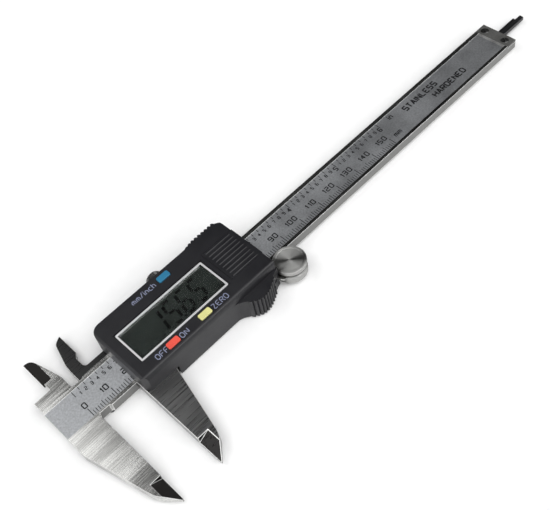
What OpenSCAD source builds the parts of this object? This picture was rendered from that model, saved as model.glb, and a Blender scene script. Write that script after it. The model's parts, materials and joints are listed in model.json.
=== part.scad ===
// Generic 150 mm digital caliper, lying on its back.
// +X runs along the beam to the depth rod, +Y points to the inside jaws, +Z leaves the display.
// Sub-parts are drawn with X = 0 on the fixed outside measuring face, Y = 0 on the beam's centre
// line and Z = 0 on the beam's front face, then moved to the middle of the whole object's floor.
// Sub-parts that ride on the slider are drawn where they are with the jaws closed.

/* [Reading] */
// Jaw opening shown in the rest pose
opening = 15.65; // [0:0.05:120]

/* [Beam] */
// Width of the beam
beam_w = 16; // [15.6:0.1:16.4]
// Thickness of the beam and of both jaws
beam_t = 4; // [3.8:0.1:4.2]
// X of the beam's free end
beam_end = 222.4; // [218:0.1:230]
// Length of the end plate
end_plate_l = 5.4; // [5:0.1:7]

/* [Jaws] */
// Width of a jaw where it leaves the beam
jaw_w = 12.3; // [12:0.1:13]
// Reach of the outside jaws from the beam's centre line
outside_reach = 48.3; // [46:0.1:52]
// Reach of the inside jaws from the beam's centre line
inside_reach = 28.4; // [27.5:0.1:30]
// Distance from the outside measuring face back to the inside measuring edge
inside_edge = 6.2; // [6:0.1:6.5]
// Length of the thinned tips of the outside jaws
tip_l = 10.1; // [8:0.1:12]

/* [Housing] */
// Width of the plastic housing
housing_w = 28.6; // [28.4:0.1:29]
// X of the housing's right end, with the jaws closed
housing_end = 60.45; // [60.4:0.05:60.5]
// Height of the display face above the beam
housing_h = 8; // [8:0.1:8.5]
// Height of the thumb rest above the beam
rest_h = 4.5; // [3.5:0.1:5.5]
// Pitch of the thumb rest's ribs
rest_pitch = 1.3; // [1.1:0.05:1.6]
// Pitch of the ribs on the upper edge
upper_pitch = 1.6; // [1.4:0.05:2]

/* [Display and buttons] */
// Length of the display's metal frame
display_l = 39; // [38:0.1:39]
// Width of the display's metal frame
display_w = 14.4; // [14:0.1:14.4]
// Length of a button
button_l = 5; // [4.6:0.1:5]
// Width of a button
button_w = 2.5; // [2.2:0.1:2.5]
// Travel of a button
button_travel = 0.5; // [0.3:0.05:0.5]

/* [Battery] */
// Diameter of the coin cell
cell_d = 11.6; // [11.4:0.1:11.6]
// Thickness of the coin cell
cell_h = 5.4; // [5.2:0.1:5.4]

/* [Thumb roller and lock screw] */
// Radius of the roller's front disc
front_disc_r = 6.1; // [5.8:0.1:6.1]
// Distance from the beam's edge to the roller's axis
roller_drop = 6.05; // [5.9:0.05:6.1]
// Radius of the lock screw's knurled head
lock_head_r = 3.3; // [3:0.1:3.4]

/* [Hidden] */
$fn = 64;
touch = 0.05;                       // running gap between pieces that slide or turn
fit = 0.02;                         // gap of a screw in its own hole
over = 1;                           // how far a cut runs past the surface it opens

beam_y = beam_w / 2;
beam_start = -jaw_w;
end_plate_x = beam_end - end_plate_l;
end_plate_t = 1;
end_screw_y = [5.4, -4.5];
end_screw_x = end_plate_x + 2.6;
end_screw_r = 0.8;

// Scale: a circuit strip under a printed label, both in a shallow recess in the beam's front
label_y = [-6.55, 6.2];
strip_t = 0.8;
label_t = 0.16;
recess_t = 1;

// Jaws
shoulder_y = 14.5;
half_t = beam_t / 2;
knife_t = 1.2;                      // thickness left at a thinned measuring edge
tip_bevel_w = 4.3;
tip_flat = [0.5, 0.2];              // blunt corner at the very tip
back_curve = [[-4, 4.2], [-5.6, 5.7], [-6.25, 8.4]]; // outside jaw's back edge: X, distance from tip
upper_body_y = 12.3;
blade_root_y = 15.6;                // where the fixed inside jaw's ground bevel starts
blade_step = 0.6;
blade_back = [[-3.5, 0.6], [-2.75, 4]]; // round tip of the fixed blade: X, distance from tip
blade_foot = [[-1.2, 18.5], [-0.35, 15], [0, 13]]; // its back edge, down to the beam: X, Y
ground = [-2.7, 1.85];              // ground bevel: X where it starts, depth at the measuring edge
moving_back = [[-11.9, 17.4], [-9.5, 26], [-8.9, 27.2]]; // back edge of the moving blade: X, Y
moving_shoulder_y = 13.4;
moving_foot = [[-6.2, 18.4], [-7.6, 16.4]]; // lower end of its measuring edge: X, Y
foot_r = 1.4;
moving_bevel = [-9.8, 17.5];        // bevel on its back: X and Y where it starts
relief_l = 5;                       // relief notches beside the fixed measuring faces
relief = [0.5, 0.7];                // their depth at the inside and at the outside jaw
relief_run = 0.7;
relief_corner = 0.3;

// Depth rod in its groove on the beam's back
rod_y = [-0.9, 2.1];
rod_z = [-beam_t + 0.1, -beam_t + 1.75];
rod_start = 40;
rod_foot_l = 8;
rod_tip_l = 3.2;
rod_tip_y = 1;
groove_start = rod_start - 4;

// Slider frame: two rails and a back wall around the beam
rail_y = 13;
rail_top = 0.25;
rail_x = [1.5, 59.1];
back_z = [-5.5, -beam_t - 0.1];
tongue_y = [-7.2, 11.7];
tongue_top = -half_t - touch;
gib_y = [beam_y + touch, beam_y + 0.5];
gib_z = [-3.8, -0.2];
gib_screw_x = [17, 41.5];
gib_screw_r = 0.8;
label_back = [2, 33, -8.5, 8.5];    // recess for the conversion table: X, X, Y, Y
clamp = [36, 52, -6.5, 7.7];        // pocket for the depth rod's clamp: X, X, Y, Y
clamp_screw_y = [-4.2, 5.4];
clamp_screw_x = rod_start + 4;
clamp_screw_r = 0.7;

// Housing shell
housing_x = 0.1;
wall = 1.2;
front_wall = 1.4;
skirt_z = -4.9;
housing_y = housing_w / 2;
inner_y = housing_y - wall;
front_in = housing_h - front_wall;
housing_screw_x = [5, 47.5];
housing_screw_y = 11;
housing_screw_r = 1;
boss_r = 2.2;

// Display
display_x = 4.75;
display_y = -8.3;
bezel_w = 0.65;
glass = [5, 43.6, -8.1, 5.9];       // display panel: X, X, Y, Y
glass_z = [4.9, 6.55];

// Electronics
board_z = [rail_top, rail_top + 1];

// Buttons: centre of each cap
unit_pos = [31.15, 11.45];
power_pos = [16.05, -11];
zero_pos = [30.35, -11];
flange_grow = 0.3;
button_top = housing_h + 0.45;
flange_z = [5.8, 6.5];
nub_top = 5.2;

// Battery bay
cell_x = 52.55;
cell_z = board_z[1] + 0.17;
cover_x = 45.75;
cover_y = 8;
deck_z = [5.9, 6.85];
groove_h = 0.5;

// Roller
roller_x = 66.65;
roller_y = -beam_y - roller_drop;
rear_disc_r = roller_drop - touch;
rear_disc_z = [-4.6, -0.9];
front_disc_z = [0.6, 2.4];
boss_top = front_disc_z[1] - 0.5;   // boss of the rear disc, inside the front disc
neck_r = 2.2;
arm_z = [-0.8, -0.05];
arm_y = [-12.8, -9.2];
arm_screw_x = [51.5, 56.5];
arm_screw_y = -11;
arm_screw_r = 0.75;
arm_r = 3.7;                        // round end of the bracket, about the roller's axis
arm_bend_x = [57.5, 60.4];

// Lock screw
lock_x = 31.35;
lock_z = -2;
lock_shank_r = 1.45;
lock_head_y = [15, 21.3];

// Middle of the floor under the whole object
mid_x = (beam_start + beam_end + opening) / 2;
mid_y = (inside_reach - outside_reach) / 2;

// ---- Placing ----

module on_beam() translate([-mid_x, -mid_y, -back_z[0]]) children();

module on_slider() on_beam() translate([opening, 0, 0]) children();

// ---- Shapes that repeat ----

// Points on a circular arc
function arc(x, y, r, from, to, n = 8) =
    [for (i = [0:n]) let (a = from + (to - from) * i / n) [x + r * cos(a), y + r * sin(a)]];

// Points on a smooth bend that leaves a towards b and arrives at c
function bend(a, b, c, n = 6) =
    [for (i = [0:n]) let (t = i / n) (1 - t) * (1 - t) * a + 2 * t * (1 - t) * b + t * t * c];

// Smooth step from 0 at a to 1 at b
function ramp(v, a, b) = let (t = min(1, max(0, (v - a) / (b - a)))) t * t * (3 - 2 * t);

// Box between pairs of limits
module block(x, y, z) translate([x[0], y[0], z[0]]) cube([x[1] - x[0], y[1] - y[0], z[1] - z[0]]);

// Flat outline raised between two heights
module raised(z) translate([0, 0, z[0]]) linear_extrude(z[1] - z[0]) children();

// Outline in X and Z, run between two values of Y
module along_y(y) translate([0, y[1], 0]) rotate([90, 0, 0]) linear_extrude(y[1] - y[0]) children();

// Outline in Y and Z, run between two values of X
module along_x(x) translate([x[0], 0, 0]) rotate([90, 0, 90]) linear_extrude(x[1] - x[0]) children();

// Rectangle with round corners, between pairs of limits
module rounded(x, y, r) {
    translate([x[0] + r, y[0]]) square([x[1] - x[0] - 2 * r, y[1] - y[0]]);
    translate([x[0], y[0] + r]) square([x[1] - x[0], y[1] - y[0] - 2 * r]);
    for (px = [x[0] + r, x[1] - r], py = [y[0] + r, y[1] - r]) translate([px, py]) circle(r);
}

// Upright cylinder between two heights
module post(x, y, r, z) translate([x, y, z[0]]) cylinder(r = r, h = z[1] - z[0]);

// Screw with a domed head at the bottom (up = 1) or at the top (up = -1), and a cross recess
module cross_screw(x, y, z, up, head_r, head_h, r, length) {
    translate([x, y, z]) mirror([0, 0, up < 0 ? 1 : 0]) difference() {
        union() {
            rotate_extrude() polygon([[0, 0], [head_r * 0.5, 0.03], [head_r * 0.8, 0.11],
                [head_r, 0.25], [head_r, head_h], [0, head_h]]);
            cylinder(r = r, h = length);
        }
        for (turn = [0, 90]) rotate(turn + 35)
            translate([-head_r * 0.7, -head_r * 0.14, -over])
                cube([head_r * 1.4, head_r * 0.28, over + head_h * 0.6]);
    }
}

// ---- Beam ----

// Plan of one outside jaw, with its measuring face on X = 0 and its body to the left
module outside_jaw_plan() polygon(concat(
    [[0, -beam_y + over], [0, -outside_reach], [-tip_flat[0], tip_flat[1] - outside_reach]],
    let (tip = [0, -outside_reach]) bend(back_curve[0] + tip, back_curve[1] + tip, back_curve[2] + tip),
    [[-jaw_w, -shoulder_y], [-jaw_w, -beam_y + over]]));

// Wedge that thins an outside jaw's tip towards its measuring face
module tip_bevel() along_y([-outside_reach - over, -outside_reach + tip_l])
    polygon([[-tip_bevel_w, 0], [over, -(beam_t - knife_t) * (1 + over / tip_bevel_w)],
        [over, over], [-tip_bevel_w, over]]);

// Fixed inside jaw and the body it grows from, in the front half of the beam's thickness
module fixed_inside_plan() polygon(concat(
    [[-jaw_w, beam_y - over], [-jaw_w, upper_body_y], [blade_step - inside_edge, upper_body_y],
        [blade_step - inside_edge, blade_root_y], [-inside_edge, blade_root_y]],
    bend([-inside_edge, inside_reach], [blade_back[0][0], inside_reach - blade_back[0][1]],
        [blade_back[1][0], inside_reach - blade_back[1][1]]),
    blade_foot, [[0, beam_y - over]]));

// Relief notch in the beam's edge beside a fixed measuring face
module relief_notch(depth) polygon([[0, beam_y + over], [0, beam_y - depth + relief_corner],
    [relief_corner, beam_y - depth], [relief_l - relief_run, beam_y - depth], [relief_l, beam_y],
    [relief_l, beam_y + over]]);

module beam() color("silver") on_beam() difference() {
    union() {
        block([beam_start, beam_end], [-beam_y, beam_y], [-beam_t, 0]);
        raised([-beam_t, 0]) outside_jaw_plan();
        raised([-half_t, 0]) fixed_inside_plan();
    }
    tip_bevel();
    along_y([blade_root_y, inside_reach + over]) polygon([[ground[0], over], [ground[0], 0],
        [-inside_edge - touch, -ground[1]], [-inside_edge - over, over]]);
    raised([-beam_t - over, over]) {
        relief_notch(relief[0]);
        mirror([0, 1]) relief_notch(relief[1]);
    }
    block([beam_start - over, end_plate_x], label_y, [-recess_t, over]);
    block([end_plate_x, beam_end + over], [-beam_y - over, beam_y + over], [-end_plate_t, over]);
    block([groove_start, beam_end + over], [rod_y[0] - 0.2, rod_y[1] + 0.2],
        [-beam_t - over, rod_z[1] + 0.15]);
    for (y = end_screw_y) post(end_screw_x, y, end_screw_r + fit, [-beam_t - over, 0]);
}

module scale_circuit_strip() color("darkgreen") on_beam()
    block([beam_start, end_plate_x - 0.1], label_y + [touch, -touch], [-recess_t, strip_t - recess_t]);

module scale_label() color("lightgray") on_beam()
    block([beam_start, end_plate_x], label_y, [strip_t - recess_t, strip_t + label_t - recess_t]);

module end_plate() color("dimgray") on_beam() difference() {
    block([end_plate_x, beam_end], [-beam_y, beam_y], [-end_plate_t, 0]);
    for (y = end_screw_y) {
        post(end_screw_x, y, end_screw_r + fit, [-end_plate_t - over, over]);
        post(end_screw_x, y, 1.7, [-0.65, over]);
    }
}

module end_plate_screws() color("gray") on_beam()
    for (y = end_screw_y) cross_screw(end_screw_x, y, -0.05, -1, 1.65, 0.6, end_screw_r, 3.6);

// ---- Slider ----

// Plan of the moving inside jaw, in the back half of the beam's thickness
module moving_inside_plan() polygon(concat(
    [[-jaw_w, beam_y + 0.1], [-jaw_w, moving_shoulder_y], moving_back[0]],
    bend(moving_back[1], moving_back[2], [-inside_edge, inside_reach]),
    moving_foot,
    arc(-inside_edge, tongue_y[1] + foot_r, foot_r, 180, 270),
    [[-inside_edge, beam_y + 0.1]]));

module slider_frame() color("darkgray") on_slider() difference() {
    union() {
        mirror([1, 0, 0]) difference() {
            raised([-beam_t, 0]) intersection() {
                outside_jaw_plan();
                translate([-2 * jaw_w, -2 * outside_reach])
                    square([4 * jaw_w, 2 * outside_reach - beam_y - touch]);
            }
            tip_bevel();
        }
        raised([-beam_t, tongue_top]) moving_inside_plan();
        block(rail_x, [-rail_y, -beam_y - touch], [back_z[0], rail_top]);
        block(rail_x, [gib_y[1], rail_y], [back_z[0], rail_top]);
        block(rail_x, [-rail_y, rail_y], back_z);
        raised([back_z[0], back_z[1]])
            rounded([-jaw_w, rail_x[0] + 2], tongue_y, 1);
        block([-jaw_w + 1, rail_x[0]], [beam_y + 0.1, tongue_y[1]], [back_z[1] - 0.1, tongue_top]);
    }
    along_y([moving_bevel[1], inside_reach + over])
        polygon([[moving_bevel[0], -beam_t], [over - inside_edge, tongue_top - touch],
            [over - inside_edge, -beam_t - over], [moving_bevel[0], -beam_t - over]]);
    block([label_back[0], label_back[1]], [label_back[2], label_back[3]],
        [back_z[0] - over, back_z[0] + 0.15]);
    // window for the depth rod's foot, and pocket for its clamp
    block([rod_start - 0.1, rod_start + rod_foot_l + 0.1], rod_y + [-0.1, 0.1],
        [back_z[0] - over, back_z[1] + over]);
    block([clamp[0], clamp[1]], [clamp[2], clamp[3]], [back_z[0] - over, back_z[0] + 0.55]);
    for (y = clamp_screw_y) post(clamp_screw_x, y, clamp_screw_r + fit, [back_z[0], back_z[1] + over]);
    for (x = housing_screw_x, y = [-housing_screw_y, housing_screw_y]) {
        post(x, y, housing_screw_r + fit, [back_z[0] - over, rail_top + over]);
        post(x, y, 1.75, [back_z[0] - over, back_z[0] + 1.1]);
    }
    for (x = gib_screw_x) translate([x, gib_y[0], lock_z]) rotate([-90, 0, 0])
        cylinder(r = gib_screw_r + fit, h = rail_y);
    translate([lock_x, gib_y[0], lock_z]) rotate([-90, 0, 0]) cylinder(r = lock_shank_r + touch, h = rail_y);
    // seat of the roller bracket
    block([arm_screw_x[0] - 2.1, rail_x[1] + over], [-rail_y - over, arm_y[1] + 0.1],
        [arm_z[0], rail_top + over]);
    for (x = arm_screw_x) post(x, arm_screw_y, arm_screw_r + fit, [-beam_t, 0]);
}

module back_label() color("gainsboro") on_slider()
    block([label_back[0] + 0.1, label_back[1] - 0.1], [label_back[2] + 0.1, label_back[3] - 0.1],
        [back_z[0] + 0.03, back_z[0] + 0.15]);

module gib_strip() color("goldenrod") on_slider()
    block([rail_x[0] + 0.5, rail_x[1] - 0.5], [gib_y[0], gib_y[1] - 0.1], gib_z);

module gib_set_screws() color("gray") on_slider() for (x = gib_screw_x)
    translate([x, gib_y[1] - 0.1, lock_z]) rotate([-90, 0, 0]) difference() {
        cylinder(r = gib_screw_r, h = 4.2);
        translate([-over, -0.15, 3.6]) cube([2 * over, 0.3, over]);
    }

module depth_rod() color("slategray") on_slider() {
    difference() {
        block([rod_start, beam_end], rod_y, rod_z);
        block([beam_end - rod_tip_l, beam_end + over], [rod_tip_y, rod_y[1] + over],
            [rod_z[0] - over, rod_z[1] + over]);
    }
    block([rod_start, rod_start + rod_foot_l], rod_y, [back_z[0] + 0.55, rod_z[0]]);
}

module rod_clamp_plate() color("silver") on_slider() difference() {
    block([clamp[0] + 0.1, clamp[1] - 0.1], [clamp[2] + 0.1, clamp[3] - 0.1],
        [back_z[0] + 0.03, back_z[0] + 0.55]);
    for (y = clamp_screw_y) {
        post(clamp_screw_x, y, clamp_screw_r + fit, [back_z[0] - over, back_z[1]]);
        post(clamp_screw_x, y, 1.35, [back_z[0] - over, back_z[0] + 0.35]);
    }
}

module rod_clamp_screws() color("gray") on_slider() for (y = clamp_screw_y)
    cross_screw(clamp_screw_x, y, back_z[0] + 0.05, 1, 1.3, 0.3, clamp_screw_r, 1.3);

module roller_bracket() color("silver") on_slider() difference() {
    union() {
        block([arm_screw_x[0] - 2, rail_x[1]], arm_y, arm_z);
        raised(arm_z) polygon([[arm_bend_x[0], arm_y[0]], [arm_bend_x[0], arm_y[1]],
            [roller_x, roller_y + arm_r], [roller_x, roller_y - arm_r],
            [arm_bend_x[1], roller_y - arm_r + 0.55]]);
        post(roller_x, roller_y, arm_r, arm_z);
    }
    post(roller_x, roller_y, neck_r + touch, [arm_z[0] - over, arm_z[1] + over]);
    for (x = arm_screw_x) {
        post(x, arm_screw_y, arm_screw_r + fit, [arm_z[0] - over, arm_z[1] + over]);
        post(x, arm_screw_y, 1.45, [arm_z[1] - 0.5, arm_z[1] + over]);
    }
}

module bracket_screws() color("gray") on_slider() for (x = arm_screw_x)
    cross_screw(x, arm_screw_y, arm_z[1], -1, 1.4, 0.5, arm_screw_r, 3.8);

// ---- Housing ----

// Ribs of one pitch, as half-round bumps between two values of X
function ribs(x, from, to, pitch) = x < from || x > to ? 0 : abs(sin(180 * (x - from) / pitch));

// Upper edge: a low ribbed rise near the right end
rise_x = [42, 48.5, 57.2, 59.8];
rise_h = 0.5;
rise_ribs_x = [43.8, 58.2];
rise_rib_h = 0.8;
function upper_edge(x) = housing_y
    + rise_h * ramp(x, rise_x[0], rise_x[1]) * (1 - ramp(x, rise_x[2], rise_x[3]))
    + rise_rib_h * ramp(x, rise_x[0], rise_x[1]) * ribs(x, rise_ribs_x[0], rise_ribs_x[1], upper_pitch);

// Lower edge of the thumb rest: a lopsided swell with ribs on its crown
rest_x = [39.6, 49.15, 62.2];       // where it starts, its crown, and where it would end
rest_swell = 4.5;
rest_ribs_x = [44.15, 57.15];
rest_rib_h = 0.75;
function rest_edge(x) = let (t = x < rest_x[1] ? (rest_x[1] - x) / (rest_x[1] - rest_x[0])
        : (x - rest_x[1]) / (rest_x[2] - rest_x[1]))
    -housing_y - rest_swell * (0.5 + 0.5 * cos(180 * t))
    - rest_rib_h * ribs(x, rest_ribs_x[0], rest_ribs_x[1], rest_pitch);

module housing_plan() polygon(concat(
    arc(housing_x + 4, housing_y - 4, 4, 180, 90),
    [for (x = [rise_x[0] - 1:0.2:housing_end - 2.2]) [x, upper_edge(x)]],
    arc(housing_end - 2.4, housing_y - 2.4, 2.4, 70, 0, 5),
    arc(housing_end - 1, 1 - housing_y, 1, 0, -90, 4),
    [[housing_x + 1.7, -housing_y], [housing_x, 1.7 - housing_y]]));

module thumb_rest_plan() polygon(concat(
    [for (x = [rest_x[0]:rest_pitch / 6:housing_end - 0.2]) [x, rest_edge(x)]],
    [[housing_end, -housing_y + 0.3], [rest_x[0], -housing_y + 0.3]]));

// Cross-sections that round the long edges and the two ends of the display face
module housing_section() polygon(concat(
    [[-housing_y, skirt_z]],
    bend([-housing_y, housing_h - 2.2], [0.1 - housing_y, housing_h - 0.1], [1.3 - housing_y, housing_h]),
    bend([housing_y + 0.7, housing_h], [housing_y + 2.1, housing_h - 0.1],
        [housing_y + 2.2, housing_h - 1.5]),
    [[housing_y + 2.2, skirt_z]]));

module housing_profile() polygon(concat(
    [[housing_x, skirt_z]],
    arc(housing_x + 0.9, housing_h - 0.9, 0.9, 180, 90, 5),
    arc(housing_end - 0.8, housing_h - 0.8, 0.8, 90, 0, 5),
    [[housing_end, skirt_z]]));

// Opening for one button, or its flange when grow is more than 0
module button_plan(pos, grow) rounded(
    [pos[0] - button_l / 2 - grow, pos[0] + button_l / 2 + grow],
    [pos[1] - button_w / 2 - min(grow, 0.15), pos[1] + button_w / 2 + min(grow, 0.15)], 0.6);

module housing() color([0.13, 0.13, 0.14]) on_slider() difference() {
    union() {
        difference() {
            union() {
                intersection() {
                    raised([skirt_z, housing_h]) housing_plan();
                    along_x([housing_x - over, housing_end + over]) housing_section();
                    along_y([-housing_w, housing_w]) housing_profile();
                }
                raised([skirt_z, rest_h]) thumb_rest_plan();
            }
            block([housing_x + wall, housing_end - wall], [-inner_y, inner_y],
                [skirt_z - over, front_in]);
        }
        for (x = housing_screw_x, y = [-housing_screw_y, housing_screw_y])
            post(x, y, boss_r, [rail_top, front_in + touch]);
        block([cover_x - wall, housing_end - touch], [-inner_y - touch, inner_y + touch], deck_z);
        post(cell_x, 0, cell_d / 2 + 1, [board_z[1], deck_z[1]]);
    }
    for (x = housing_screw_x, y = [-housing_screw_y, housing_screw_y])
        post(x, y, housing_screw_r + fit, [0, 4.8]);
    // battery bay, and the way in for its cover
    post(cell_x, 0, cell_d / 2 + 0.15, [0, housing_h]);
    block([cell_x + cell_d / 2 - 0.3, housing_end - wall], [-2.2, 2.2], [0, deck_z[0]]);
    block([cover_x, housing_end + over], [-cover_y, cover_y], [deck_z[1], housing_h + over]);
    block([cover_x, housing_end + over], [-cover_y - 0.6, cover_y + 0.6],
        [deck_z[1], deck_z[1] + groove_h]);
    // display recess and window
    block([display_x - 0.5, display_x + display_l + 0.5],
        [display_y - 0.5, display_y + display_w + 0.5], [housing_h - 0.5, housing_h + over]);
    block([display_x + bezel_w, display_x + display_l - bezel_w],
        [display_y + bezel_w, display_y + display_w - bezel_w], [0, housing_h]);
    for (pos = [unit_pos, power_pos, zero_pos])
        raised([front_in - over, housing_h + over]) button_plan(pos, 0.1);
    // ways through the end walls for the beam, the tongue and the jaw
    block([housing_x - over, housing_x + wall + touch], [-beam_y - 0.3, tongue_y[1] + 0.2],
        [skirt_z - over, rail_top + touch]);
    block([housing_end - wall - touch, housing_end + over], [-beam_y - 0.3, beam_y + 0.3],
        [skirt_z - over, rail_top + touch]);
    block([housing_x - over, jaw_w + 1], [-housing_y - over, -beam_y], [skirt_z - over, touch]);
    block([arm_screw_x[0] - 2.2, housing_end + over], [roller_y - arm_r + 0.35, arm_y[1] + 0.2],
        [arm_z[0] - 0.1, 0.1]);
    // hole for the lock screw
    translate([lock_x, inner_y - over, lock_z]) rotate([-90, 0, 0]) cylinder(r = 1.8, h = 4);
}

module housing_screws() color("gray") on_slider()
    for (x = housing_screw_x, y = [-housing_screw_y, housing_screw_y])
        cross_screw(x, y, back_z[0] + 0.1, 1, 1.7, 1, housing_screw_r, 9.6);

// ---- Display ----

module lcd_bezel() color("silver") on_slider() difference() {
    raised([housing_h - 0.5, housing_h - 0.05])
        rounded([display_x, display_x + display_l], [display_y, display_y + display_w], 0.5);
    block([display_x + bezel_w, display_x + display_l - bezel_w],
        [display_y + bezel_w, display_y + display_w - bezel_w], [0, housing_h + over]);
}

module lcd_window() color([0.2, 0.22, 0.22, 0.5]) on_slider()
    block([display_x + bezel_w, display_x + display_l - bezel_w],
        [display_y + bezel_w, display_y + display_w - bezel_w], [housing_h - 1.3, housing_h - 0.35]);

module lcd_panel() color([0.25, 0.28, 0.27]) on_slider()
    block([glass[0], glass[1]], [glass[2], glass[3]], glass_z);

// Two slots at the edges of the display panel hold the rubber contact strips
zebra_x = [glass[0] + 1, glass[1] - 1];
zebra_y = [[glass[2] + 0.2, glass[2] + 1.8], [glass[3] - 1.8, glass[3] - 0.2]];

module lcd_holder() color("whitesmoke") on_slider() difference() {
    block([glass[0] - 0.6, glass[1] + 0.6], [glass[2] - 0.5, glass[3] + 0.7],
        [board_z[1], glass_z[0] - touch]);
    block([zebra_x[0], zebra_x[1]], [zebra_y[0][1] + 0.5, zebra_y[1][0] - 0.5], [0, housing_h]);
    for (y = zebra_y) block(zebra_x, y, [0, housing_h]);
}

module zebra_strips() color("pink") on_slider() for (y = zebra_y)
    block(zebra_x + [touch, -touch], y + [touch, -touch], [board_z[1], glass_z[0]]);

// ---- Electronics ----

module circuit_board() color("seagreen") on_slider() difference() {
    block([rail_x[0] + 0.1, rail_x[1]], [0.2 - inner_y, inner_y - 0.2], board_z);
    for (x = housing_screw_x, y = [-housing_screw_y, housing_screw_y])
        post(x, y, boss_r + 0.2, [0, board_z[1] + over]);
}

module controller_chip() color("black") on_slider()
    translate([24, -1, board_z[1]]) rotate_extrude()
        polygon(concat([[0, 0]], arc(0, -3.5, 5.3, 41.5, 90, 6)));

// Rubber pad on the board with one nub under each button of a list
module keypad(x, y, buttons) {
    block(x, y, [board_z[1], board_z[1] + 0.7]);
    for (pos = buttons) post(pos[0], pos[1], 1.1, [board_z[1], nub_top]);
}

module keypad_lower() color("lightgray") on_slider()
    keypad([13.2, 33.4], [-12.7, -9.3], [power_pos, zero_pos]);

module keypad_upper() color("lightgray") on_slider() keypad([28, 34.3], [9.4, 12.7], [unit_pos]);

module battery_contact_positive() color("gold") on_slider()
    block([cell_x + cell_d / 2 + 0.05, cell_x + cell_d / 2 + 0.3], [-2, 2], [board_z[1], 5.5]);

module battery_contact_negative() color("gold") on_slider()
    post(cell_x, 0, 3.5, [board_z[1], cell_z]);

module coin_cell() color("lightsteelblue") on_slider() {
    post(cell_x, 0, cell_d / 2, [cell_z + 0.3, cell_z + cell_h]);
    post(cell_x, 0, cell_d / 2 - 0.9, [cell_z, cell_z + 0.3]);
}

// Sliding cover: a plate on two tongues, with finger ridges and a raised lip
module battery_cover() color([0.15, 0.15, 0.16]) on_slider() {
    block([cover_x + 0.1, housing_end], [0.1 - cover_y, cover_y - 0.1], [deck_z[1] + 0.05, housing_h]);
    block([cover_x + 0.1, housing_end], [-cover_y - 0.5, cover_y + 0.5],
        [deck_z[1] + 0.05, deck_z[1] + groove_h - 0.05]);
    block([cover_x + 0.1, cover_x + 0.75], [0.1 - cover_y, cover_y - 0.1],
        [housing_h - over, housing_h + 0.15]);
    for (i = [-4:4]) translate([cover_x + 1.4, 1.75 * i, housing_h - 0.3]) rotate([0, 90, 0])
        cylinder(r = 0.45, h = 11.5);
}

// ---- Pieces that turn or travel ----

// Outline with a fine straight knurl
module knurled(r, teeth, depth) polygon([for (i = [0:2 * teeth - 1])
    let (a = 180 * i / teeth, q = r - depth * (i % 2)) [q * cos(a), q * sin(a)]]);

module lock_screw() color("dimgray") on_slider() translate([lock_x, 0, lock_z]) {
    along_y([lock_head_y[0] + 0.5, lock_head_y[1] - 0.5]) knurled(lock_head_r, 36, 0.22);
    translate([0, gib_y[1], 0]) rotate([-90, 0, 0]) {
        cylinder(r = lock_shank_r, h = lock_head_y[0] - gib_y[1] + 1);
        translate([0, 0, lock_head_y[0] - gib_y[1]]) cylinder(r = lock_head_r - 0.5, h = 1);
        translate([0, 0, lock_head_y[1] - gib_y[1] - 1]) cylinder(r = lock_head_r - 0.4, h = 1);
    }
}

// The rear disc has a round rim, rolls on the beam's edge and carries the neck
module roller_rear_disc() color("silver") on_slider() translate([roller_x, roller_y, 0])
    rotate_extrude() polygon(concat(
        [[0, rear_disc_z[0]]],
        arc(rear_disc_r - 1.2, rear_disc_z[0] + 1.2, 1.2, -90, 0, 6),
        arc(rear_disc_r - 0.6, rear_disc_z[1] - 0.6, 0.6, 0, 90, 4),
        [[neck_r, rear_disc_z[1]], [neck_r, front_disc_z[0]],
            [1.2, front_disc_z[0]], [1.2, boss_top], [0, boss_top]]));

module roller_front_disc() color("silver") on_slider() translate([roller_x, roller_y, 0])
    difference() {
        rotate_extrude() polygon([[0, front_disc_z[0]], [front_disc_r - 0.2, front_disc_z[0]],
            [front_disc_r, front_disc_z[0] + 0.2], [front_disc_r, front_disc_z[1] - 0.3],
            [front_disc_r - 0.3, front_disc_z[1]], [front_disc_r - 1, front_disc_z[1]],
            [front_disc_r - 1.2, front_disc_z[1] - 0.15], [0, front_disc_z[1] - 0.15]]);
        post(0, 0, 1.2, [front_disc_z[0] - over, boss_top]);
    }

module button(pos) {
    raised([flange_z[0], button_top]) button_plan(pos, 0);
    raised(flange_z) button_plan(pos, flange_grow);
}

module unit_button() color("steelblue") on_slider() button(unit_pos);

module power_button() color("tomato") on_slider() button(power_pos);

module zero_button() color("khaki") on_slider() button(zero_pos);

beam();
scale_circuit_strip();
scale_label();
end_plate();
end_plate_screws();
slider_frame();
back_label();
gib_strip();
gib_set_screws();
depth_rod();
rod_clamp_plate();
rod_clamp_screws();
roller_bracket();
bracket_screws();
housing();
housing_screws();
lcd_bezel();
lcd_window();
lcd_panel();
lcd_holder();
zebra_strips();
circuit_board();
controller_chip();
keypad_lower();
keypad_upper();
battery_contact_positive();
battery_contact_negative();
coin_cell();
battery_cover();
lock_screw();
roller_rear_disc();
roller_front_disc();
unit_button();
power_button();
zero_button();
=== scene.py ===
"""Digital caliper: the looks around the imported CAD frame.

Places are worked out from the frame. The caliper's own frame, used by at(), has X = 0 on the
fixed outside measuring face, Y = 0 on the beam's centre line and Z = 0 on the beam's front
face, in millimetres; +X runs to the depth rod, +Y to the inside jaws, +Z out of the display.
"""

import json
import math

import bpy
from mathutils import Matrix, Vector


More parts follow.
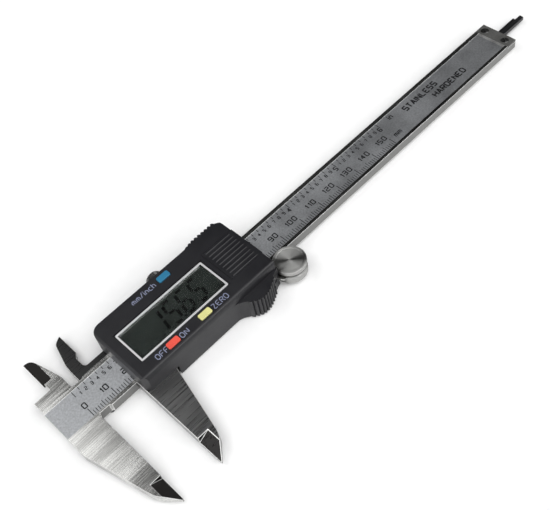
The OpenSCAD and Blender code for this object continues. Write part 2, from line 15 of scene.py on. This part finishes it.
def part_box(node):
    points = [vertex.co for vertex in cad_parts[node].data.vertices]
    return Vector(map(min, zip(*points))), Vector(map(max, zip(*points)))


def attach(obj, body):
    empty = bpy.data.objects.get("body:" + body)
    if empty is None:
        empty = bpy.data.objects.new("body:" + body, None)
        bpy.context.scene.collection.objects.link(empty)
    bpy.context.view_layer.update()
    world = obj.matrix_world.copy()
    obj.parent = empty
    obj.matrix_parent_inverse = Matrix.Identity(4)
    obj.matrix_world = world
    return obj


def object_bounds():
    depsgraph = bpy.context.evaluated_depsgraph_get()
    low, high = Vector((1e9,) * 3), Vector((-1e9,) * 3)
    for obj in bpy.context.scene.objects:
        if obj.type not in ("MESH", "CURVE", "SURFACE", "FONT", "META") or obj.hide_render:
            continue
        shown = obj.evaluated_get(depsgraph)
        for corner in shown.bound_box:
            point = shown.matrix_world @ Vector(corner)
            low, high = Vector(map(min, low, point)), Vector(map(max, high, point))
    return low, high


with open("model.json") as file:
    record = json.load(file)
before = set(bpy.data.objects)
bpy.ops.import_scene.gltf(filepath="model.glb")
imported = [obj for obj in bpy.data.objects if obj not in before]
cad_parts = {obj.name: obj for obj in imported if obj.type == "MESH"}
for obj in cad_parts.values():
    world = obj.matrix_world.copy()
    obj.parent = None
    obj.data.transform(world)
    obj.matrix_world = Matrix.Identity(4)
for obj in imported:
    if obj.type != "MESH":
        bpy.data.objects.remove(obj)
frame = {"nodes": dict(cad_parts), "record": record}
cad_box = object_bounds()

MM = 0.001
# From the fixed outside measuring face to the beam's -X end, in millimetres
JAW_WIDTH = 12.3

beam_low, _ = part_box("beam")
plate_low, plate_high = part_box("end_plate")
ORIGIN = Vector((beam_low.x + JAW_WIDTH * MM, (plate_low.y + plate_high.y) / 2, plate_high.z))
FLOOR_Z = cad_box[0][2]


def at(x, y, z):
    """A point given in the caliper's own frame, in the row frame."""
    return ORIGIN + Vector((x, y, z)) * MM


def limits(node):
    """A node's lowest and highest corners in the caliper's own frame, in millimetres."""
    low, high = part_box(node)
    return (Vector(low) - ORIGIN) / MM, (Vector(high) - ORIGIN) / MM


def placed(name, data):
    """A new object in the scene that shows the given data."""
    thing = bpy.data.objects.new(name, data)
    bpy.context.scene.collection.objects.link(thing)
    return thing


def pointed(direction):
    """The turn that makes a light or camera, which looks along its own -Z, face a direction."""
    return Vector(direction).to_track_quat("-Z", "Y")


# ---------------------------------------------------------------- materials

def new_material(name):
    """A node material with its Principled shader, as (material, nodes, links, shader)."""
    mat = bpy.data.materials.new(name)
    mat.use_nodes = True
    nodes, links = mat.node_tree.nodes, mat.node_tree.links
    return mat, nodes, links, nodes["Principled BSDF"]


def add(nodes, kind, inputs=None, **fields):
    """A node with its fields and its input defaults set."""
    node = nodes.new("ShaderNode" + kind)
    for key, value in fields.items():
        setattr(node, key, value)
    for key, value in (inputs or {}).items():
        node.inputs[key].default_value = value
    return node


def noise(nodes, links, scale, detail=3.0):
    """Noise in the row frame, stretched by scale (waves a metre on X, Y and Z)."""
    coords = add(nodes, "TexCoord")
    mapping = add(nodes, "Mapping", {"Scale": scale})
    texture = add(nodes, "TexNoise", {"Scale": 1.0, "Detail": detail, "Roughness": 0.6})
    links.new(coords.outputs["Object"], mapping.inputs["Vector"])
    links.new(mapping.outputs["Vector"], texture.inputs["Vector"])
    return texture.outputs["Fac"]


def span(nodes, links, value, low, high, from_low=0.3, from_high=0.7):
    """value, brought from its usual span to low..high."""
    node = add(nodes, "MapRange", {"From Min": from_low, "From Max": from_high,
                                   "To Min": low, "To Max": high})
    links.new(value, node.inputs["Value"])
    return node.outputs["Result"]


def combined(nodes, links, operation, first, second):
    """Two values added or multiplied; the second may be a number."""
    node = add(nodes, "Math", operation=operation)
    links.new(first, node.inputs[0])
    if isinstance(second, float):
        node.inputs[1].default_value = second
    else:
        links.new(second, node.inputs[1])
    return node.outputs[0]


def mixed(nodes, links, factor, first, second):
    """A colour between two colours, or between sockets that give them."""
    node = add(nodes, "Mix", data_type="RGBA")
    links.new(factor, node.inputs["Factor"])
    for key, value in (("A", first), ("B", second)):
        socket = next(s for s in node.inputs if s.name == key and s.type == "RGBA")
        if isinstance(value, tuple):
            socket.default_value = (*value, 1)
        else:
            links.new(value, socket)
    return next(s for s in node.outputs if s.type == "RGBA")


def bump(nodes, links, shader, height, distance):
    """Relief of the given depth in metres."""
    node = add(nodes, "Bump", {"Distance": distance, "Strength": 1.0})
    links.new(height, node.inputs["Height"])
    links.new(node.outputs["Normal"], shader.inputs["Normal"])


def window(nodes, links, value, rise, fall):
    """1 where value lies between the two pairs of limits, 0 outside them."""
    up = span(nodes, links, value, 0, 1, *rise)
    return combined(nodes, links, "MULTIPLY", up, span(nodes, links, value, 1, 0, *fall))


# Tone of the slanting faces, and of the painted shade on faces towards -Y as a share of the light
# tone
SLANT_TONE = (0.028, 0.026, 0.025)
SIDE_SHADE_SHARE = 0.25
SLANT_METALLIC = 0.3
# A face's normal: its Z where the slanting tone fades in and out, its Y where painted shade fades
# in
SLANT_RISE, SLANT_FALL = (0.76, 0.80), (0.92, 0.96)
SIDE_SHADE_RISE = (-0.8, -0.95)
SCRATCH_DEPTH = 1.5e-6
# Half the width over which the painted shade on the inside jaws' side fades in
UPPER_SHADE_BLEND = 0.2 * MM


def brushed(name, dark, light, rough, upper_shade=1.0):
    """Metal brushed along X, with fine scratches, streaks and broad changes of tone.

    Its slanting faces get a darker, dull tone, its faces towards -Y a painted shade, and a share
    below 1 gives the inside jaws' side of the beam that share of the dark tone: painted shade.
    """
    mat, nodes, links, shader = new_material(name)
    fine = noise(nodes, links, (90, 7000, 7000))
    streak = noise(nodes, links, (60, 1300, 1300))
    broad = combined(nodes, links, "MULTIPLY", noise(nodes, links, (12, 85, 85), 1.0), 2.0)
    tone = combined(nodes, links, "ADD", combined(nodes, links, "ADD", fine, streak), broad)
    colour = mixed(nodes, links, span(nodes, links, tone, 0, 1, 1.7, 2.3), dark, light)

    geometry = add(nodes, "NewGeometry")
    normal = add(nodes, "SeparateXYZ")
    links.new(geometry.outputs["Normal"], normal.inputs[0])
    # Faces towards -Y take a share of the light tone: painted shade
    side_shade = span(nodes, links, normal.outputs["Y"], 0, 1, *SIDE_SHADE_RISE)
    colour = mixed(nodes, links, side_shade, colour, tuple(c * SIDE_SHADE_SHARE for c in light))
    # Faces tilted by this much get a darker, dull, less metallic tone
    slanting = window(nodes, links, normal.outputs["Z"], SLANT_RISE, SLANT_FALL)
    colour = mixed(nodes, links, slanting, colour, SLANT_TONE)
    # The inside jaws' side of the beam is darkened: painted shade
    if upper_shade < 1:
        coords, spot = add(nodes, "TexCoord"), add(nodes, "SeparateXYZ")
        links.new(coords.outputs["Object"], spot.inputs[0])
        edge = plate_high.y
        shaded_above = span(nodes, links, spot.outputs["Y"], 0, 1, edge - UPPER_SHADE_BLEND, edge + UPPER_SHADE_BLEND)
        colour = mixed(nodes, links, shaded_above, colour, tuple(c * upper_shade for c in dark))
    links.new(colour, shader.inputs["Base Color"])
    links.new(span(nodes, links, streak, rough - 0.05, rough + 0.08), shader.inputs["Roughness"])
    bump(nodes, links, shader, combined(nodes, links, "ADD", fine, streak), SCRATCH_DEPTH)
    links.new(span(nodes, links, slanting, 1, SLANT_METALLIC, 0, 1), shader.inputs["Metallic"])
    return mat


# A quarter turn, as Anisotropic Rotation counts it
QUARTER_TURN = 0.25


def turned(name, dark, light, rough, anisotropy):
    """Metal turned on a lathe about Z: rings of fine scratches that spread light across them."""
    mat, nodes, links, shader = new_material(name)
    coords = add(nodes, "TexCoord")
    middle = add(nodes, "VectorMath", operation="SUBTRACT")
    middle.inputs[1].default_value = (0.5, 0.5, 0.5)
    links.new(coords.outputs["Generated"], middle.inputs[0])
    flat = add(nodes, "VectorMath", operation="MULTIPLY")
    flat.inputs[1].default_value = (1, 1, 0)
    links.new(middle.outputs[0], flat.inputs[0])
    radius = add(nodes, "VectorMath", operation="LENGTH")
    links.new(flat.outputs[0], radius.inputs[0])
    rings = add(nodes, "TexNoise", {"Scale": 90.0, "Detail": 4.0}, noise_dimensions="1D")
    links.new(radius.outputs["Value"], rings.inputs["W"])
    links.new(mixed(nodes, links, span(nodes, links, rings.outputs["Fac"], 0, 1), dark, light),
              shader.inputs["Base Color"])
    links.new(span(nodes, links, rings.outputs["Fac"], rough - 0.04, rough + 0.05),
              shader.inputs["Roughness"])
    tangent = add(nodes, "Tangent", direction_type="RADIAL", axis="Z")
    links.new(tangent.outputs["Tangent"], shader.inputs["Tangent"])
    shader.inputs["Metallic"].default_value = 1
    shader.inputs["Anisotropic"].default_value = anisotropy
    shader.inputs["Anisotropic Rotation"].default_value = QUARTER_TURN
    return mat


def grainy(name, colour, rough, waves, grain, metallic=0.0, spread=1.25, specular=0.5,
           clouds=0.6):
    """A moulded, printed or sandblasted surface: fine grain, with slow changes of tone."""
    mat, nodes, links, shader = new_material(name)
    fine = noise(nodes, links, (waves,) * 3)
    cloudy = noise(nodes, links, (waves * 0.04,) * 3)
    tone = combined(nodes, links, "ADD", fine, combined(nodes, links, "MULTIPLY", cloudy, clouds))
    lighter = tuple(c * spread + 0.001 for c in colour)
    middle = 0.5 + 0.5 * clouds
    links.new(mixed(nodes, links, span(nodes, links, tone, 0, 1, middle - 0.2, middle + 0.2),
                    colour, lighter), shader.inputs["Base Color"])
    links.new(span(nodes, links, cloudy, rough - 0.05, rough + 0.07), shader.inputs["Roughness"])
    bump(nodes, links, shader, fine, grain)
    shader.inputs["Metallic"].default_value = metallic
    shader.inputs["Specular IOR Level"].default_value = specular
    return mat


def clear_window(name):
    """Clear acrylic with faint wiping marks."""
    mat, nodes, links, shader = new_material(name)
    smear = noise(nodes, links, (60, 400, 60))
    links.new(span(nodes, links, smear, 0.03, 0.09), shader.inputs["Roughness"])
    shader.inputs["Base Color"].default_value = (0.93, 0.96, 0.95, 1)
    shader.inputs["Transmission Weight"].default_value = 1
    shader.inputs["IOR"].default_value = 1.45
    return mat


MATERIALS = {
    "ground_steel": brushed("ground_steel", (0.30, 0.30, 0.29), (0.86, 0.86, 0.84), 0.18),
    # The slider's steel takes darker tones than the beam's: painted shade on the moving jaw
    "slider_steel": brushed("slider_steel", (0.23, 0.23, 0.23), (0.33, 0.33, 0.33), 0.28,
                            upper_shade=0.3),
    "turned_steel": turned("turned_steel", (0.34, 0.34, 0.33), (0.50, 0.50, 0.49), 0.45, 0.95),
    "screw_steel": turned("screw_steel", (0.10, 0.10, 0.10), (0.20, 0.20, 0.20), 0.28, 0.3),
    "rod_steel": brushed("rod_steel", (0.10, 0.10, 0.11), (0.18, 0.18, 0.19), 0.35),
    "bronze": brushed("bronze", (0.50, 0.34, 0.16), (0.72, 0.52, 0.27), 0.35),
    "scale_print": grainy("scale_print", (0.41, 0.42, 0.435), 0.48, 1500, 6e-6, 1.0, 1.45,
                          clouds=0.15),
    "circuit_green": grainy("circuit_green", (0.05, 0.22, 0.10), 0.4, 3000, 2e-6),
    "chip_black": grainy("chip_black", (0.02, 0.02, 0.02), 0.3, 4000, 2e-6),
    "case_black": grainy("case_black", (0.008, 0.008, 0.010), 0.42, 2600, 1.2e-5),
    "display_frame": grainy("display_frame", (0.78, 0.78, 0.79), 0.35, 5000, 1e-6, 0.45, 1.05),
    "display_window": clear_window("display_window"),
    "display_panel": grainy("display_panel", (0.036, 0.041, 0.038), 0.5, 5000, 2e-7,
                            specular=0.1),
    "holder_white": grainy("holder_white", (0.75, 0.75, 0.72), 0.5, 3000, 3e-6),
    "contact_rubber": grainy("contact_rubber", (0.55, 0.35, 0.36), 0.7, 3000, 3e-6),
    "keypad_rubber": grainy("keypad_rubber", (0.50, 0.50, 0.48), 0.7, 3000, 3e-6),
    "contact_metal": brushed("contact_metal", (0.6, 0.46, 0.2), (0.75, 0.6, 0.3), 0.3),
    "cell_steel": brushed("cell_steel", (0.6, 0.6, 0.6), (0.7, 0.7, 0.7), 0.25),
    "button_blue": grainy("button_blue", (0.02, 0.15, 0.27), 0.42, 5000, 4e-6),
    "button_red": grainy("button_red", (0.66, 0.075, 0.05), 0.42, 5000, 4e-6),
    "button_yellow": grainy("button_yellow", (0.60, 0.58, 0.24), 0.42, 5000, 4e-6),
}
# Brighter steel for bevel faces and the label's end: a painted highlight
HIGHLIGHT_STEEL = grainy("painted_highlight_steel", (0.80, 0.80, 0.79), 0.42, 6000, 1e-6, 1.0, 1.1)
CAST_ZINC = grainy("cast_zinc", (0.085, 0.085, 0.082), 0.5, 3000, 6e-6, 0.4, 1.5)
INK = grainy("ink_black", (0.012, 0.012, 0.013), 0.55, 6000, 1e-6, specular=0.2)
PALE_INK = grainy("ink_pale", (0.21, 0.23, 0.33), 0.55, 6000, 1e-6)
SEGMENT = grainy("segment_dark", (0.004, 0.004, 0.004), 0.5, 6000, 1e-6, specular=0.2)

# Widest bevel of each CAD node's sharp edges, in millimetres
BEVELS = {"beam": 0.2, "slider_frame": 0.17, "housing": 0.22, "battery_cover": 0.1,
          "end_plate": 0.08, "end_plate_screws": 0.08, "lcd_bezel": 0.06, "roller_front_disc": 0.04,
          "roller_rear_disc": 0.05, "roller_bracket": 0.06, "lock_screw": 0.04, "depth_rod": 0.1,
          "unit_button": 0.3, "power_button": 0.3, "zero_button": 0.3}
# Nodes whose bevel faces take the brighter steel, a painted highlight on their edges
HIGHLIGHTED_EDGES = ("beam", "slider_frame")
BEVEL_SEGMENTS = 3
SMOOTH_BELOW = math.radians(30)
# Corners nearer than this, in metres, are joined; faces within this angle of flat are merged
WELD_BELOW = 1e-6
FLAT_BELOW = math.radians(0.5)


def finish_cad_nodes():
    """Gives each CAD node its slot's material, and a small bevel where its edges show."""
    for part in frame["record"]["subparts"]:
        name = part["node"]
        node = frame["nodes"][name]
        node.data.materials.clear()
        node.data.materials.append(CAST_ZINC if name == "end_plate"
                                   else MATERIALS[part["material_slot"]])
        if name in BEVELS:
            weld = node.modifiers.new("joined", "WELD")
            weld.merge_threshold = WELD_BELOW
            flat = node.modifiers.new("flat_faces", "DECIMATE")
            flat.decimate_type = "DISSOLVE"
            flat.angle_limit = FLAT_BELOW
            bevel = node.modifiers.new("edges", "BEVEL")
            # Bevel faces here take the brighter steel: a painted highlight along the edges
            if name in HIGHLIGHTED_EDGES:
                node.data.materials.append(HIGHLIGHT_STEEL)
                bevel.material = 1
            bevel.width = BEVELS[name] * MM
            bevel.segments = BEVEL_SEGMENTS
            bevel.use_clamp_overlap = name != "slider_frame"
            bevel.limit_method = "ANGLE"
            bevel.angle_limit = SMOOTH_BELOW
            bevel.harden_normals = True


# ---------------------------------------------------------------- lettering

# Strokes of each character on a grid 4 wide and 6 high, as pairs of digits; a leading c closes one
GLYPHS = {
    "0": "c00404606", "1": "142620", "2": "064643030040", "3": "06464000 0343",
    "4": "3036 360242", "5": "460603434000", "6": "460600404303", "7": "064620",
    "8": "c00404606 0343", "9": "0040460603 0343", ".": "0001", "/": "0036",
    "S": "460603434000", "T": "0646 2620", "A": "002640 1232", "I": "0600", "N": "00064046",
    "L": "060040", "E": "46060040 0333", "H": "0600 4640 0343", "R": "0006464303 2340",
    "D": "c000636454130", "O": "c00404606", "Z": "06460040", "F": "460600 0333",
    "m": "00044440 2024", "n": "00043430", "i": "0004 0506", "c": "34040030", "h": "0600 043430",
}


CORNER_STEPS = 4
# Half the thickness of printed ink, in millimetres
INK_THICK = 0.012


def rounded(points, closed, radius):
    """The polyline with its corners rounded off."""
    out = []
    count = len(points)
    for i, corner in enumerate(points):
        if not closed and i in (0, count - 1):
            out.append(corner)
            continue
        before, after = points[i - 1], points[(i + 1) % count]
        start = corner + (before - corner).normalized() * min(radius, (before - corner).length / 2)
        end = corner + (after - corner).normalized() * min(radius, (after - corner).length / 2)
        for k in range(CORNER_STEPS + 1):
            t = k / CORNER_STEPS
            out.append(start * (1 - t) ** 2 + corner * 2 * t * (1 - t) + end * t ** 2)
    return out


class Strokes:
    """Gathers flat strokes of printed or inlaid lines into one closed mesh."""

    def __init__(self):
        self.verts, self.faces = [], []

    def line(self, points, closed, width, thick, place):
        """One stroke along points in the plane; place(x, y, z) puts a point in the row frame."""
        first, count = len(self.verts), len(points)
        for i, point in enumerate(points):
            before = points[i - 1] if closed or i else None
            after = points[(i + 1) % count] if closed or i < count - 1 else None
            into = (point - before).normalized() if before is not None else None
            out = (after - point).normalized() if after is not None else into
            into = out if into is None else into
            mean = (into + out).normalized()
            half = width / 2 / max(0.5, mean.dot(out))
            side = Vector((-mean.y, mean.x)) * half
            for offset, z in ((side, thick), (-side, thick), (-side, -thick), (side, -thick)):
                self.verts.append(place(point.x + offset.x, point.y + offset.y, z))
        for i in range(count if closed else count - 1):
            a, b = first + 4 * i, first + 4 * ((i + 1) % count)
            self.faces += [(a + (k + 1) % 4, a + k, b + k, b + (k + 1) % 4) for k in range(4)]
        if not closed:
            last = first + 4 * (count - 1)
            self.faces += [(first, first + 1, first + 2, first + 3),
                           (last + 3, last + 2, last + 1, last)]

    def straight(self, start, end, width, thick, place):
        """One straight stroke between two points."""
        self.line([Vector(start), Vector(end)], False, width, thick, place)

    def text(self, words, x, y, height, place, width, stretch=1.0, corner=0.9, gap=1.7,
             align="left"):
        """words on the base line y, starting, centred or ending at x, in millimetres."""
        unit = height / 6
        glyphs, run = [], 0.0
        for letter in words:
            shapes = []
            for stroke in GLYPHS[letter].split():
                closed = stroke[0] == "c"
                digits = stroke[closed:]
                shapes.append((closed, [Vector((int(digits[i]), int(digits[i + 1])))
                                        for i in range(0, len(digits), 2)]))
            glyphs.append((run, shapes))
            wide = max(p.x for _, points in shapes for p in points)
            run += wide + gap
        total = (run - gap) * unit * stretch
        x -= {"left": 0, "middle": total / 2, "right": total}[align]
        for offset, shapes in glyphs:
            for closed, points in shapes:
                points = [Vector(((p.x + offset) * unit * stretch, p.y * unit)) + Vector((x, y))
                          for p in points]
                points = rounded(points, closed, corner * unit)
                self.line(points, closed, width, INK_THICK, place)

    def piece(self, name, material, body, slot):
        """The gathered strokes as a piece that rides on a body."""
        mesh = bpy.data.meshes.new(name)
        mesh.from_pydata([tuple(v) for v in self.verts], [], self.faces)
        mesh.materials.append(material)
        piece = placed(name, mesh)
        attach(piece, body)


def on_plane(height):
    """A place function for strokes on a face that looks along +Z."""
    return lambda x, y, z: at(x, y, height + z)


# The zero mark lies this far along X from the measuring face
ZERO_MARK = -1.35
INCH = 25.4
LAST_MM, LAST_TENTH = 150, 60


def scale_print():
    """Millimetre scale, inch scale and generic wording on the beam's label."""
    low, high = limits("scale_label")
    place = on_plane(high.z)
    ink = Strokes()

    def mark(x, start, end, width=0.25):
        ink.straight((x, start), (x, end), width, INK_THICK, place)

    inset, beside = 0.05, 0.35
    ten, five, one = 3.6, 2.6, 1.9
    foot = low.y + inset
    for mm in range(LAST_MM + 1):
        x = ZERO_MARK + mm
        if mm % 10 == 0:
            mark(x, foot, foot + ten, 0.3)
            shift, align = (0, "middle") if mm == 0 else (-beside, "right")
            ink.text(str(mm), x + shift, foot + 4.3, 2.0, place, 0.44, align=align, gap=2.5)
        else:
            mark(x, foot, foot + (five if mm % 5 == 0 else one))
    head = high.y - inset
    for tenth in range(LAST_TENTH + 1):
        x = ZERO_MARK + tenth * INCH / 10
        whole = tenth % 10 == 0
        mark(x, head - (2.7 if whole else 1.4), head)
        if tenth:
            digit = str(tenth // 10 if whole else tenth % 10)
            ink.text(digit, x - beside, head - (4.1 if whole else 3.3), 1.9 if whole else 1.3,
                     place, 0.42 if whole else 0.3, 0.9, align="right")
    ink.text("in", ZERO_MARK + 158.2, 3.3, 2.2, place, 0.44)
    ink.text("mm", ZERO_MARK + 152.8, -4.4, 2.1, place, 0.42)
    wording = {"place": place, "width": 0.62, "align": "right", "corner": 0.6, "gap": 1.9}
    ink.text("STAINLESS", ZERO_MARK + 184.5, 1.3, 2.4, **wording)
    ink.text("HARDENED", ZERO_MARK + 197.5, -3.0, 2.4, stretch=1.03, **wording)
    ink.piece("scale_marks", INK, "beam_body", "case_black")

    # The bare edge between the label and the end plate, in the brighter steel: a painted highlight
    # strip
    middle = plate_low.x / MM - ORIGIN.x / MM - 0.7
    margin = Strokes()
    margin.straight((middle, low.y + 0.1), (middle, high.y - 0.1), 1.2, 0.008, place)
    margin.piece("label_margin", HIGHLIGHT_STEEL, "beam_body", "scale_print")


# Segments lit by each digit: top, upper right, lower right, bottom, lower left, upper left, middle
LIT = {"1": "bc", "5": "afgcd", "6": "afgedc"}


def display_digits():
    """The reading, in slanted seven-segment digits on the panel."""
    _, high = limits("lcd_panel")
    place = on_plane(high.z)
    ink = Strokes()
    cell, stroke, thick, slant, gap = 3.5, 1.1, 0.02, 0.17, 0.62
    low_y, mid_y, top_y = -5.75, -0.95, 3.75

    def lean(x, y):
        return Vector((x + slant * y, y))

    first, pitch = 32.3, 5.77
    for i, digit in enumerate("1565"):
        left = first + pitch * i
        right = left + cell
        ends = {"a": ((left + gap, top_y), (right - gap, top_y)),
                "b": ((right, top_y - gap), (right, mid_y + gap)),
                "c": ((right, mid_y - gap), (right, low_y + gap)),
                "d": ((left + gap, low_y), (right - gap, low_y)),
                "e": ((left, mid_y - gap), (left, low_y + gap)),
                "f": ((left, top_y - gap), (left, mid_y + gap)),
                "g": ((left + gap, mid_y), (right - gap, mid_y))}
        for segment in LIT[digit]:
            a, b = ends[segment]
            ink.straight(lean(*a), lean(*b), stroke, thick, place)
    dot = first + 2 * pitch - 1.15
    ink.straight(lean(dot, low_y - 0.4), lean(dot, low_y + 0.4), 0.8, thick, place)
    ink.piece("reading", SEGMENT, "slider_body", "chip_black")


def housing_labels():
    """Names of the three buttons, printed on the housing."""
    _, high = limits("housing")
    place = on_plane(high.z)
    ink = Strokes()
    style = {"place": place, "width": 0.26, "corner": 2.0, "gap": 1.6}
    ink.text("mm/inch", 32.5, 10.45, 2.1, stretch=0.98, **style)
    base = -12.15
    ink.text("OFF", 24.2, base, 2.05, stretch=0.95, **style)
    ink.text("ON", 34.9, base, 2.05, **style)
    ink.text("ZERO", 49.4, base, 2.05, stretch=0.95, **style)
    ink.piece("button_names", PALE_INK, "slider_body", "holder_white")


def conversion_table():
    """Inch fractions and their millimetres, printed on the label on the slider's back."""
    low, high = limits("back_label")
    ink = Strokes()

    def place(x, y, z):
        """The label is read from behind, with the beam's free end to the left."""
        return at(high.x - x, low.y + y, low.z - z)

    wide, tall = high.x - low.x, high.y - low.y
    columns, rows, finest = 4, 8, 32
    inset, heading, thick = 0.5, 2.6, 0.01
    right, top = wide - inset, tall - inset
    step_x, step_y = (right - inset) / columns, (top - heading - inset) / rows

    def upright(x, width):
        ink.straight((x, inset), (x, top), width, thick, place)

    for x in (inset, right):
        upright(x, 0.14)
    for y in (inset, top - heading, top):
        ink.straight((inset, y), (right, y), 0.14, thick, place)
    for column in range(columns):
        left = inset + column * step_x
        if column:
            upright(left, 0.1)
        ink.text("in", left + 0.7, tall - 2.45, 1.3, place, 0.16)
        ink.text("mm", left + 4.1, tall - 2.45, 1.3, place, 0.16)
        for row in range(rows):
            part = column * rows + row + 1
            step = math.gcd(part, finest)
            base = 0.8 + (rows - 1 - row) * step_y
            ink.text(f"{part // step}/{finest // step}", left + 0.4, base, 0.9, place, 0.13, 0.8)
            ink.text(f"{part * INCH / finest:.2f}", left + step_x - 0.3, base, 0.9, place, 0.13,
                     0.8, align="right")
    ink.piece("conversion_marks", INK, "slider_body", "case_black")


# ---------------------------------------------------------------- studio

def area_light(name, place, target, size, watts):
    """A soft light at place that faces target."""
    light = bpy.data.lights.new(name, "AREA")
    light.shape = "RECTANGLE"
    light.size, light.size_y = size
    light.energy = watts
    lamp = placed(name, light)
    lamp.location = place
    lamp.rotation_euler = pointed(Vector(target) - Vector(place)).to_euler()


def soft_sun(name, direction, strength, angle):
    """A wide, distant light that shines along direction."""
    light = bpy.data.lights.new(name, "SUN")
    light.energy = strength
    light.angle = math.radians(angle)
    placed(name, light).rotation_euler = pointed(direction).to_euler()


# The world's strength as a background, and as a light on everything else
WORLD_BACKGROUND = 0.95
WORLD_LIGHT = 0.02


def studio():
    """A pale floor, soft lights and the photograph's camera."""
    mesh = bpy.data.meshes.new("floor")
    half = 4.0
    mesh.from_pydata([(-half, -half, 0), (half, -half, 0), (half, half, 0), (-half, half, 0)], [],
                     [(0, 1, 2, 3)])
    floor = placed("floor", mesh)
    floor.location.z = FLOOR_Z
    mesh.materials.append(grainy("floor", (0.90, 0.90, 0.90), 0.8, 300, 1e-6, spread=1.02,
                                 specular=0.2))

    world = bpy.data.worlds.new("studio")
    world.use_nodes = True
    nodes, links = world.node_tree.nodes, world.node_tree.links
    nodes["Background"].inputs["Color"].default_value = (1, 1, 1, 1)
    seen = add(nodes, "LightPath").outputs["Is Camera Ray"]
    strength = span(nodes, links, seen, WORLD_LIGHT, WORLD_BACKGROUND, 0, 1)
    links.new(strength, nodes["Background"].inputs["Strength"])
    bpy.context.scene.world = world
    bpy.context.scene.view_settings.view_transform = "Standard"
    area_light("softbox", (-0.32, 0.31, 0.60), (-0.10, 0.02, 0.0), (0.52, 0.30), 1.2)
    area_light("side_box", (0.42, -0.42, 0.48), (0.0, 0.0, 0.0), (0.6, 0.6), 0.8)
    soft_sun("front", (0.34, 0.49, -0.80), 2.6, 85)
    soft_sun("fill_right", (-0.5, 0.5, -0.75), 1.0, 60)
    soft_sun("low_left", (0.858, -0.448, -0.245), 0.35, 16)

    camera = bpy.data.cameras.new("camera")
    camera.lens, camera.sensor_width, camera.sensor_fit = 57.45, 36, "HORIZONTAL"
    camera.clip_start = 0.01
    eye = placed("camera", camera)
    place, target = at(-26.3, -159.62, 248.7), at(81.45, -7.3, 0)
    roll = Matrix.Rotation(math.radians(-12.59), 4, "Z")
    turn = pointed(target - place).to_matrix().to_4x4()
    eye.matrix_world = Matrix.Translation(place) @ turn @ roll
    bpy.context.scene.camera = eye


finish_cad_nodes()
scale_print()
display_digits()
housing_labels()
conversion_table()
studio()
